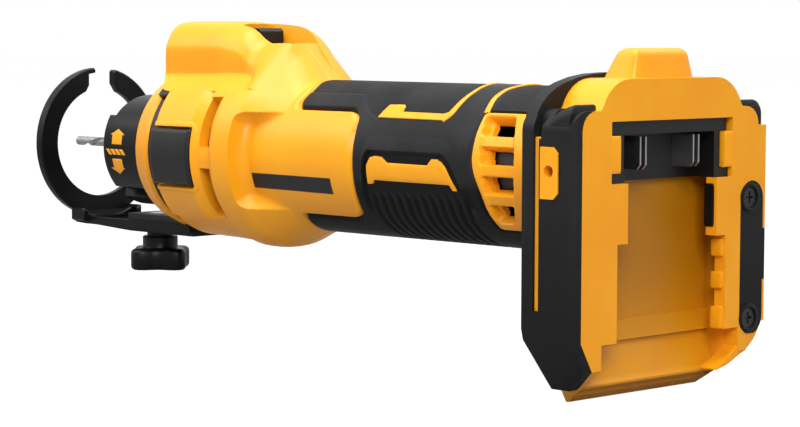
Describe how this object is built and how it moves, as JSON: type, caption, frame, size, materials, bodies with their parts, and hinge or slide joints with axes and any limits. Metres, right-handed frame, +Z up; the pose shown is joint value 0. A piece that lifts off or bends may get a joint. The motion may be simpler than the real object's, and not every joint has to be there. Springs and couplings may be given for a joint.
{
  "type": "cordless drywall cut-out tool",
  "caption": "Barrel-shaped cordless drywall cut-out tool with battery dock, slide switch, twist bit collar, spinning bit and sliding depth guide clamped by a lobed knob.",
  "frame": {"origin": "on the spindle axis at the rear plane of the battery dock", "axes": "+X forward along the spindle to the bit, +Y to the tool's left side, +Z up to the switch hump"},
  "size_m": [0.272, 0.0848, 0.1046],
  "materials": {
    "yellow_shell": "satin moulded",
    "black_rubber": "fine matte grain",
    "black_plastic": "satin moulded",
    "collar_plastic": "smooth",
    "contact_metal": "tinned",
    "tray_metal": "cast",
    "board": "solder mask",
    "lead_wire": "smooth",
    "lens": "clear",
    "lamination": "stamped",
    "winding": "enamelled wire",
    "bearing_steel": "ground",
    "screw_steel": "zinc plated",
    "insert_brass": "turned",
    "magnet": "plated",
    "spindle_steel": "ground",
    "bit_steel": "ground"
  },
  "bodies": {
    "housing": {"housing_left": "yellow_shell", "housing_right": "yellow_shell", "grip_left": "black_rubber", "grip_right": "black_rubber", "dock_bumper_left": "black_rubber", "dock_bumper_right": "black_rubber", "nose_frame": "black_plastic", "nose_ring": "yellow_shell", "terminal_block": "black_plastic", "terminal_blades": "contact_metal", "control_tray": "tray_metal", "control_board": "board", "power_leads": "lead_wire", "motor_leads": "lead_wire", "switch_body": "black_plastic", "light_lens": "lens", "light_board": "board", "stator_core": "lamination", "stator_coils": "winding", "rear_plate": "black_plastic", "front_bearing_outer": "bearing_steel", "rear_bearing_outer": "bearing_steel", "front_bearing_balls": "bearing_steel", "rear_bearing_balls": "bearing_steel", "air_baffle": "black_plastic", "housing_screws": "screw_steel", "dock_screws": "screw_steel", "guide_insert": "insert_brass"},
    "spindle": {"spindle_shaft": "spindle_steel", "rotor_core": "lamination", "rotor_magnets": "magnet", "fan": "black_plastic", "front_bearing_inner": "bearing_steel", "rear_bearing_inner": "bearing_steel", "collet": "spindle_steel", "collet_nut": "spindle_steel", "cutting_bit": "bit_steel"},
    "collar": {"bit_collar": "collar_plastic"},
    "guide": {"depth_guide": "black_plastic"},
    "knob": {"guide_knob": "black_plastic", "guide_stud": "screw_steel"},
    "slider": {"switch_slider": "black_plastic"},
    "pad_left": {"release_pad_left": "black_plastic"},
    "pad_right": {"release_pad_right": "black_plastic"}
  },
  "joints": [
    {"name": "spindle_spin", "type": "hinge", "parent": "housing", "child": "spindle", "pos_m": [0.2, 0, 0], "axis": [1, 0, 0], "continuous": true},
    {"name": "collar_turn", "type": "hinge", "parent": "housing", "child": "collar", "pos_m": [0.215, 0, 0], "axis": [1, 0, 0], "range_deg": [0, 60]},
    {"name": "guide_slide", "type": "slide", "parent": "housing", "child": "guide", "axis": [1, 0, 0], "range_m": [0, 0.018]},
    {"name": "knob_turn", "type": "hinge", "parent": "housing", "child": "knob", "pos_m": [0.2256, 0, -0.036], "axis": [0, 0, 1], "continuous": true},
    {"name": "switch_slide", "type": "slide", "parent": "housing", "child": "slider", "axis": [1, 0, 0], "range_m": [0, 0.006]},
    {"name": "pad_left_press", "type": "slide", "parent": "housing", "child": "pad_left", "axis": [0, -1, 0], "range_m": [0, 0.0015], "stiffness_N_per_m": 2000},
    {"name": "pad_right_press", "type": "slide", "parent": "housing", "child": "pad_right", "axis": [0, 1, 0], "range_m": [0, 0.0015], "stiffness_N_per_m": 2000}
  ]
}
